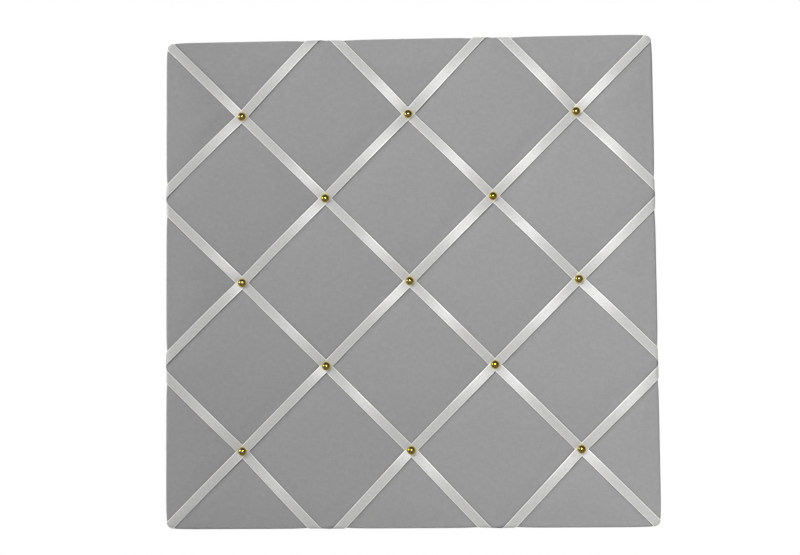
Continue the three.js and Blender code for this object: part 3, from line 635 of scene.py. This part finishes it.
# Painted glints: random lighter specks in the satin's colour stand in for the sparkle of its sheen. The same
# noise also puckers the surface a little in the bump.
glints = graded(tree, noise(tree, strip_map, 620, 3.0, 0.7), 0.35, 0.7)
float_colour = tint(tree, float_lines, paint("#a8a8a7"), paint("#b8b8b6"))
satin_colour = tint(tree, calc(tree, "MULTIPLY", glints, 0.5), float_colour, paint("#cececc"))
edged_colour = tint(tree, selvedge, satin_colour, paint("#e2e2e0"))
# Painted reflection: the satin is painted a warm cream from each stud's rim out to about 7.2 mm from its
# centre, standing in for light that the brass throws onto it.
stud_distance = put(tree, "ShaderNodeAttribute", {}, attribute_name="stud_distance").outputs["Fac"]
clear_of_stud_glow = graded(tree, stud_distance, 4.3 * mm, 7.2 * mm)
colour = tint(tree, clear_of_stud_glow, paint("#c8c2a4"), edged_colour)
feed(tree, shader, Base_Color=colour, Tangent=tangent)
feed(tree, shader, Roughness=calc(tree, "MULTIPLY_ADD", pick_lines, 0.08, 0.305))
woven_lines = calc(tree, "MULTIPLY_ADD", float_lines, 0.6, calc(tree, "MULTIPLY", selvedge, 0.5))
puckered = calc(tree, "MULTIPLY_ADD", glints, 0.4, woven_lines)
feed(tree, shader, Normal=relief(tree, puckered, 0.05 * mm, 0.6))
feed(tree, shader, Coat_Weight=selvedge)

ribbon_families = [
    ("falling", np.array([1, -1]) * math.sqrt(0.5), np.array([1, 1]) * math.sqrt(0.5), 0.0),
    ("rising", np.array([1, 1]) * math.sqrt(0.5), np.array([1, -1]) * math.sqrt(0.5), 1.0),
]
for family, along, away, over in ribbon_families:
    across = np.array([along[1], -along[0]])
    for index, number in enumerate(line_numbers):
        middle = away * number * line_pitch
        lattice = [other * line_pitch for other in line_numbers]
        stud_places = [
            place for place in lattice
            if any(np.hypot(*(middle + along * place - spot)) < mm for spot in stud_spots)
        ]
        crossings = list(stud_places)
        for place in set(lattice) - set(stud_places):
            edge = int(np.argmax(np.abs(middle + along * place)))
            crossings.append(place + math.copysign(edge_spreads[edge] * math.sqrt(2), place))
        line = (middle, along, across)
        low_length, low_end = ribbon_end(line, -1, stud_places[-1])
        high_length, high_end = ribbon_end(line, 1, stud_places[-1])
        rows = int((low_length + high_length) / ribbon_step)
        s = np.linspace(-low_length, high_length, rows)
        details = (line, s, (low_end, high_end), stud_places, crossings, over)
        upper = ribbon_places(*details, ribbon_thickness + selvedge_rise)
        lower = ribbon_places(*details, 0 * mm)
        columns = len(across_places)
        points = np.concatenate([upper.reshape(-1, 3), lower.reshape(-1, 3)])
        strip = new_piece(f"satin_{family}_{index + 1}", points, strip_faces(rows, columns), satin)
        grid_s, grid_t = np.meshgrid(s, across_places, indexing="ij")
        flat_places = np.stack([grid_s, grid_t], axis=-1).reshape(-1, 2)
        layer = strip.data.uv_layers.new(name="ribbon")
        loop_points = np.array([loop.vertex_index for loop in strip.data.loops]) % len(flat_places)
        layer.data.foreach_set("uv", flat_places[loop_points].astype(np.float32).ravel())
        from_studs = np.hypot(grid_s[..., None] - np.array(stud_places), grid_t[..., None]).min(axis=-1)
        distances = strip.data.attributes.new("stud_distance", "FLOAT", "POINT")
        distances.data.foreach_set("value", np.tile(from_studs.ravel(), 2).astype(np.float32))
        tidy_mesh(strip, 1e-7, recalculate=True)
        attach(strip, "board")
        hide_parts(f"ribbon_{family}_{index + 1}")


# Studs: thirteen upholstery nails with domed heads of polished and lacquered brass, pressed by hand
# through both ribbons at each crossing into the core, so that each sits a little askew.
stud_seat = -22.1 * mm
stud_radius = 4.3 * mm
stud_height = 3.4 * mm
stud_wall = 0.5 * mm
shank_radius = 0.9 * mm
shank_length = 13 * mm


def turned(profile, sides):
    """Points and faces of a shape turned about the Y axis, from (radius, y) points. A radius of 0
    closes an end."""
    points = []
    rings = []
    for radius, y in profile:
        count = sides if radius > 0 else 1
        rings.append(range(len(points), len(points) + count))
        for k in range(count):
            angle = 2 * math.pi * k / sides
            points.append((radius * math.cos(angle), y, radius * math.sin(angle)))
    faces = []
    for one, other in zip(rings, rings[1:]):
        for k in range(sides):
            near = [one[k % len(one)], one[(k + 1) % len(one)]]
            far = [other[(k + 1) % len(other)], other[k % len(other)]]
            faces.append(tuple(dict.fromkeys(near + far)))
    return points, faces


def dome(radius, height, degrees):
    angle = math.radians(degrees)
    return radius * math.cos(angle), -height * math.sin(angle)


def handled_group():
    """Marks on plated metal: fine rub lines, and cloudy smudges left by fingers."""
    inputs = {"Place": "NodeSocketVector", "Fineness": "NodeSocketFloat"}
    tree, given, result = shader_group("handled metal", inputs, ["Smudge", "Rubbed"])
    tree.links.new(noise(tree, given["Place"], given["Fineness"], 3.0), result["Smudge"])
    finer = calc(tree, "MULTIPLY", given["Fineness"], 3.0)
    rub_lines = noise(tree, drawn_out(tree, given["Place"], (1, 1, 14)), finer, 2.0)
    tree.links.new(rub_lines, result["Rubbed"])
    return tree


handled = handled_group()

brass, tree, shader = new_finish(
    "polished brass", {"Metallic": 1.0, "Coat Weight": 1.0, "Coat Roughness": 0.2}
)
place = put(tree, "ShaderNodeTexCoord").outputs["Object"]
marks = put(tree, "ShaderNodeGroup", {"Place": place, "Fineness": 500}, node_tree=handled)
colour = tint(tree, marks.outputs["Smudge"], paint("#b4963a"), paint("#cdb158"))
feed(tree, shader, Base_Color=colour)
feed(tree, shader, Roughness=calc(tree, "MULTIPLY_ADD", marks.outputs["Smudge"], 0.12, 0.13))
feed(tree, shader, Normal=relief(tree, marks.outputs["Rubbed"], 0.02 * mm, 0.3))

stud_profile = [
    (0, -stud_height),
    *(dome(stud_radius, stud_height, degrees) for degrees in range(81, 8, -9)),
    (stud_radius, -0.3 * mm),
    (stud_radius - 0.1 * mm, 0),
    (stud_radius - stud_wall, -0.05 * mm),
    *(dome(stud_radius - stud_wall, stud_height - stud_wall, degrees) for degrees in (25, 50, 70)),
    (shank_radius, stud_wall - stud_height + 0.15 * mm),
    (shank_radius, shank_length - 3 * mm),
    (0, shank_length),
]
one_stud = new_piece("one_stud", *turned(stud_profile, 32), brass)
tidy_mesh(one_stud, 1e-7, recalculate=True)
stud_points = [(x, stud_seat, z) for x, z in stud_spots]
studs = new_piece("brass_studs", stud_points, [], brass)

pinning = bpy.data.node_groups.new("pins pressed in by hand", "GeometryNodeTree")
pinning.interface.new_socket("Spots", in_out="INPUT", socket_type="NodeSocketGeometry")
sockets = {
    label: pinning.interface.new_socket(label, in_out="INPUT", socket_type=kind).identifier
    for label, kind in (
        ("Pin", "NodeSocketObject"),
        ("Lean", "NodeSocketVector"),
        ("Seed", "NodeSocketInt"),
        ("Finish", "NodeSocketMaterial"),
    )
}
pinning.interface.new_socket("Pins", in_out="OUTPUT", socket_type="NodeSocketGeometry")
given = put(pinning, "NodeGroupInput").outputs
pin = put(pinning, "GeometryNodeObjectInfo", {"Object": given["Pin"]})
least = put(pinning, "ShaderNodeVectorMath", {0: given["Lean"], "Scale": -1}, operation="SCALE")
limits = {0: least.outputs[0], 1: given["Lean"], "Seed": given["Seed"]}
lean = put(pinning, "FunctionNodeRandomValue", limits, data_type="FLOAT_VECTOR")
pins = put(pinning, "GeometryNodeInstanceOnPoints", {
    "Points": given["Spots"], "Instance": pin.outputs["Geometry"], "Rotation": lean.outputs[0],
})
solid_pins = put(pinning, "GeometryNodeRealizeInstances", {0: pins.outputs[0]})
shown = put(pinning, "GeometryNodeSetMaterial", {0: solid_pins.outputs[0], "Material": given["Finish"]})
put(pinning, "NodeGroupOutput", {0: shown.outputs[0]})

pressing = studs.modifiers.new("pins", "NODES")
pressing.node_group = pinning
pressing[sockets["Pin"]] = one_stud
pressing[sockets["Lean"]] = (math.radians(3), math.pi, math.radians(3))
pressing[sockets["Seed"]] = 4
pressing[sockets["Finish"]] = brass
bake_modifiers(studs)
bpy.data.objects.remove(one_stud)
studs.data.polygons.foreach_set("use_smooth", [True] * len(studs.data.polygons))
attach(studs, "board")
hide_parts(*(f"stud_{number:02d}" for number in range(1, 14)))


# Staples: a wire staple across each ribbon tail, driven through the hem into the core. The backing
# card covers them, so they stay as their CAD solids, in bright drawn steel.
steel, tree, shader = new_finish("zinc-plated steel", {"Metallic": 1.0})
place = put(tree, "ShaderNodeTexCoord").outputs["Object"]
marks = put(tree, "ShaderNodeGroup", {"Place": place, "Fineness": 260}, node_tree=handled)
colour = tint(tree, marks.outputs["Smudge"], paint("#9fa3a6"), paint("#c9ccce"))
feed(tree, shader, Base_Color=colour)
feed(tree, shader, Roughness=calc(tree, "MULTIPLY_ADD", marks.outputs["Rubbed"], 0.3, 0.2))
feed(tree, shader, Normal=relief(tree, marks.outputs["Rubbed"], 0.03 * mm, 0.4))
dress([f"staple_{number:02d}" for number in range(1, 21)], steel)


# Backing card: a 3 mm sheet of brown board that hides the hem and the staples. It is cut with a
# blade, with a window for each hanger, and glued down.
card_half = 238 * mm
card_thickness = 3 * mm
window_half = 13.9 * mm
window_low, window_high = 151 * mm, 198.6 * mm
hanger_x = 130 * mm

kraft, tree, shader = new_finish("brown board", {"Roughness": 0.85, "Specular IOR Level": 0.3})
place = put(tree, "ShaderNodeTexCoord").outputs["Object"]
fibre = put(tree, "ShaderNodeGroup", {"Place": place, "Fineness": 900}, node_tree=pressed_fibre)
soft_patches = noise(tree, place, 9, 3.0)
pale = tint(tree, graded(tree, soft_patches, 0.3, 0.7), paint("#a58563"), paint("#ac8c6a"))
mottled = tint(tree, graded(tree, fibre.outputs["Fibre"], 0.3, 0.7), paint("#957552"), pale)
feed(tree, shader, Base_Color=tint(tree, fibre.outputs["Fleck"], mottled, paint("#7d6044")))
feed(tree, shader, Normal=relief(tree, fibre.outputs["Fibre"], 0.12 * mm, 0.5))

cut_board, tree, shader = new_finish(
    "cut edge of brown board", {"Roughness": 0.95, "Specular IOR Level": 0.2}
)
place = put(tree, "ShaderNodeTexCoord").outputs["Object"]
ply_lines = noise(tree, drawn_out(tree, place, (60, 2600, 60)), 1.0, 3.0)
feed(tree, shader, Base_Color=tint(tree, ply_lines, paint("#a58259"), paint("#cfb28d")))
feed(tree, shader, Normal=relief(tree, ply_lines, 0.15 * mm, 0.6))

cuts_x = [-card_half, -hanger_x - window_half, -hanger_x + window_half,
          hanger_x - window_half, hanger_x + window_half, card_half]
cuts_z = [-card_half, window_low, window_high, card_half]
card_points = [(x, 0, z) for z in cuts_z for x in cuts_x]
window_row, window_columns = 1, (1, 3)
cut_count = len(cuts_x)
card_faces = [
    (a, a + cut_count, a + cut_count + 1, a + 1)
    for row in range(len(cuts_z) - 1)
    for a in range(row * cut_count, (row + 1) * cut_count - 1)
    if not (row == window_row and a % cut_count in window_columns)
]
card = new_piece("backing_board", card_points, card_faces, kraft, smooth=False)
card.data.materials.append(cut_board)
thick = card.modifiers.new("thickness", "SOLIDIFY")
thick.thickness = card_thickness
thick.offset = -1
thick.material_offset_rim = 1
blunt = card.modifiers.new("blunt edges", "BEVEL")
blunt.width = 0.35 * mm
blunt.segments = 3
blunt.limit_method = "ANGLE"
bake_modifiers(card)
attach(card, "board")
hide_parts("backing_card")


# Hangers: a steel strap curled round the bar of a D ring and screwed to the core, one on each side.
# The ring swings in the strap's eye, and at rest it lies back against the core.
strap_seat = -5.3 * mm
strap_half = 6 * mm
strap_length = 24 * mm
strap_thickness = 1 * mm
curl_degrees = 285
eye_z = 178 * mm
eye_outer = 2.55 * mm
wire_radius = 1.2 * mm
ring_inner_width = 17 * mm
ring_height = 16.4 * mm
ring_corner = 2 * mm
ring_lean = 4.55
screw_drop = 17.5 * mm


def hanger_strap(side, x):
    """Strap with a round end, and an eye at its top. Its middle line runs up the core and curls over."""
    middle_radius = eye_outer - strap_thickness / 2
    steps = [strap_half * (1 - math.cos(math.pi / 2 * i / 10)) for i in range(11)]
    flat = [(step - strap_length, 0.0, 0.0) for step in steps] + [(-9 * mm, 0.0, 0.0), (-4 * mm, 0.0, 0.0)]
    curl = [
        (middle_radius * math.sin(turn), middle_radius * (1 - math.cos(turn)), turn)
        for turn in np.radians(np.linspace(0, curl_degrees, 27))
    ]
    rows = []
    for z, y, turn in flat + curl:
        from_end = min(z + strap_length, strap_half) if turn == 0 else strap_half
        half = math.sqrt(max(strap_half**2 - (strap_half - from_end) ** 2, (0.2 * mm) ** 2))
        normal = Vector((0, math.cos(turn), -math.sin(turn)))
        centre = Vector((x, strap_seat + strap_thickness / 2 + y, eye_z + z))
        rows.append((centre, half, normal))
    upper = [centre + Vector((k * half, 0, 0)) + normal * strap_thickness / 2
             for centre, half, normal in rows for k in (-1, -0.5, 0, 0.5, 1)]
    lower = [centre + Vector((k * half, 0, 0)) - normal * strap_thickness / 2
             for centre, half, normal in rows for k in (-1, -0.5, 0, 0.5, 1)]
    strap = new_piece(f"strap_{side}", upper + lower, strip_faces(len(rows), 5), steel)
    tidy_mesh(strap, 1e-7, recalculate=True)
    blunt = strap.modifiers.new("blunt edges", "BEVEL")
    blunt.width = 0.2 * mm
    blunt.segments = 2
    blunt.limit_method = "ANGLE"
    blunt.angle_limit = math.radians(50)
    bake_modifiers(strap)
    return strap


def hanger_ring(side, x):
    """D ring of round wire: a bar, two tight corners and a bow."""
    half = ring_inner_width / 2 + wire_radius
    bow_z = ring_height - half
    bar_end = half - ring_corner
    path = [(bar_end * k, 0.0) for k in (-0.6, 0, 0.6)]
    path += [(bar_end + ring_corner * math.sin(a), ring_corner * (1 - math.cos(a)))
             for a in np.radians(np.linspace(0, 90, 7))]
    path += [(half * math.cos(a), bow_z + half * math.sin(a)) for a in np.radians(np.linspace(0, 180, 33))]
    path += [(-bar_end - ring_corner * math.cos(a), ring_corner * (1 - math.sin(a)))
             for a in np.radians(np.linspace(0, 90, 7))]
    path = [Vector((px, 0, pz)) for px, pz in path]
    count, sides = len(path), 16
    points, faces = [], []
    for i, point in enumerate(path):
        heading = (path[(i + 1) % count] - path[i - 1]).normalized()
        aside = Vector((heading.z, 0, -heading.x))
        for k in range(sides):
            angle = 2 * math.pi * k / sides
            points.append(point + wire_radius * (aside * math.cos(angle) + Vector((0, math.sin(angle), 0))))
            a, b = i * sides + k, i * sides + (k + 1) % sides
            c, d = (i + 1) % count * sides + (k + 1) % sides, (i + 1) % count * sides + k
            faces.append((a, b, c, d))
    ring = new_piece(f"ring_{side}", points, faces, steel)
    leaning = Matrix.Rotation(math.radians(ring_lean), 4, "X")
    ring.data.transform(Matrix.Translation((x, strap_seat + eye_outer, eye_z)) @ leaning)
    tidy_mesh(ring, 1e-7, recalculate=True)
    return ring


def hanger_screw(side, x):
    """Pan-headed screw with a cross recess, its head on the strap."""
    seat = strap_seat + strap_thickness + 0.05 * mm
    profile = [(0, -9 * mm), (1.5 * mm, -6 * mm), (1.5 * mm, 0), (3.1 * mm, 0), (3.2 * mm, 0.15 * mm),
               (3.2 * mm, 0.8 * mm), (3.0 * mm, 1.3 * mm), (2.5 * mm, 1.7 * mm), (1.7 * mm, 1.93 * mm),
               (0, 2 * mm)]
    screw = new_piece(f"screw_{side}", *turned(profile, 28), steel)
    tidy_mesh(screw, 1e-7, recalculate=True)
    for turn in (0.4, 0.4 + math.pi / 2):
        blade = bmesh.new()
        bmesh.ops.create_cube(blade, size=1.0)
        for vertex in blade.verts:
            wide = 1.0 if vertex.co.y > 0 else 0.45
            vertex.co = (vertex.co.x * 3.6 * mm * wide, 2.1 * mm + (vertex.co.y - 0.5) * 1.5 * mm,
                         vertex.co.z * 0.85 * mm)
        blade.transform(Matrix.Rotation(turn, 4, "Y"))
        mesh = bpy.data.meshes.new("recess")
        blade.to_mesh(mesh)
        blade.free()
        recess = bpy.data.objects.new("recess", mesh)
        bpy.context.scene.collection.objects.link(recess)
        cut = screw.modifiers.new("recess", "BOOLEAN")
        cut.object = recess
        cut.operation = "DIFFERENCE"
        bpy.context.view_layer.update()
        bake_modifiers(screw)
        bpy.data.objects.remove(recess)
    screw.data.transform(Matrix.Translation((x, seat, eye_z - screw_drop)))
    return screw


for side, x in (("left", -hanger_x), ("right", hanger_x)):
    makers = (
        (hanger_strap, "hanger_strap", "board"),
        (hanger_ring, "hanger_ring", f"{side}_ring"),
        (hanger_screw, "hanger_screw", "board"),
    )
    for make, node, body in makers:
        piece = make(side, x)
        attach(piece, body)
        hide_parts(f"{node}_{side}")


# Setting: a pale round floor well below the hanging board and a white room that is dimmer round the
# camera. The key and window lamps are only mirrored in satin and brass, the side lamps light the cloth.
floor_colour, tree, shader = new_finish("pale floor", {"Roughness": 0.8})
speckle = noise(tree, put(tree, "ShaderNodeTexCoord").outputs["Object"], 30, 3.0)
feed(tree, shader, Base_Color=tint(tree, speckle, paint("#e4e4e2"), paint("#ececea")))
floor_radius = 0.75
floor_level = -0.5
floor_sides = 64
floor_angles = [2 * math.pi * k / floor_sides for k in range(floor_sides)]
floor_points = [(floor_radius * math.cos(a), floor_radius * math.sin(a), floor_level) for a in floor_angles]
floor = new_piece("floor", floor_points, [tuple(range(floor_sides))], floor_colour, smooth=False)
floor.visible_glossy = False


def add_lamp(name, spot, target, size, watts):
    lamp = bpy.data.lights.new(name, "AREA")
    lamp.shape = "DISK"
    lamp.size = size
    lamp.energy = watts
    holder = bpy.data.objects.new(name, lamp)
    holder.location = spot
    holder.rotation_euler = (Vector(target) - Vector(spot)).to_track_quat("-Z", "Y").to_euler()
    bpy.context.scene.collection.objects.link(holder)
    return holder


key = add_lamp("key", (0.131, -2.5, 0.404), (0.05, 0, 0), 0.35, 30)
window = add_lamp("window", (-1.4, -0.55, 0.25), (0, 0, 0), 0.8, 6)
for mirrored_lamp in (key, window):
    mirrored_lamp.visible_diffuse = False
above = add_lamp("side", (-0.6, -1.1, 1.0), (0.7, 0, -0.2), 0.4, 3.9)
above.data.spread = math.radians(68)
right = add_lamp("right", (1.0, -0.7, -0.3), (0.2, 0, -0.15), 0.5, 5.4)
left = add_lamp("left", (-1.0, -0.35, 0.25), (-0.25, 0, 0.05), 0.4, 5.1)
for soft_lamp in (above, right, left):
    soft_lamp.visible_glossy = False
add_lamp("behind", (-0.7, 1.7, 0.9), (0, 0, 0), 1.2, 20)

world = bpy.data.worlds.new("room")
bpy.context.scene.world = world
world.use_nodes = True
tree = world.node_tree
sight = put(tree, "ShaderNodeLightPath").outputs
sky = put(tree, "ShaderNodeTexCoord").outputs["Generated"]
towards = put(tree, "ShaderNodeSeparateXYZ", {0: sky}).outputs
behind_camera = graded(tree, calc(tree, "MULTIPLY", towards[1], -1.0), 0.55, 1.0)
behind_board = graded(tree, towards[1], 0.0, 0.3)
upper_room = graded(tree, towards[2], -0.6, 0.4)
round_camera = tint(tree, upper_room, (0.2, 0.2, 0.2, 1), (0.07, 0.07, 0.07, 1))
dim_room = tint(tree, behind_camera, round_camera, (0.3, 0.3, 0.3, 1))
mirrored = tint(tree, behind_board, dim_room, (1, 1, 1, 1))
overhead = tint(tree, graded(tree, towards[2], -0.6, 0.8), (0.07, 0.07, 0.07, 1), (0.43, 0.43, 0.43, 1))
lit = tint(tree, sight["Is Glossy Ray"], overhead, mirrored)
room = tree.nodes["Background"]
tree.links.new(tint(tree, sight["Is Camera Ray"], lit, (1, 1, 1, 1)), room.inputs["Color"])

camera_spot = Vector((0.0605, -1.5956, -0.1016))
camera_target = Vector((-0.0097, -0.025, 0.0034))
camera_roll = math.radians(-0.512)
camera_data = bpy.data.cameras.new("camera")
camera_data.lens = 69.8
camera_data.sensor_width = 36
camera = bpy.data.objects.new("camera", camera_data)
camera.location = camera_spot
camera.rotation_mode = "QUATERNION"
aim = (camera_target - camera_spot).to_track_quat("-Z", "Y")
camera.rotation_quaternion = aim @ Quaternion((0, 0, 1), camera_roll)
bpy.context.scene.collection.objects.link(camera)
bpy.context.scene.camera = camera
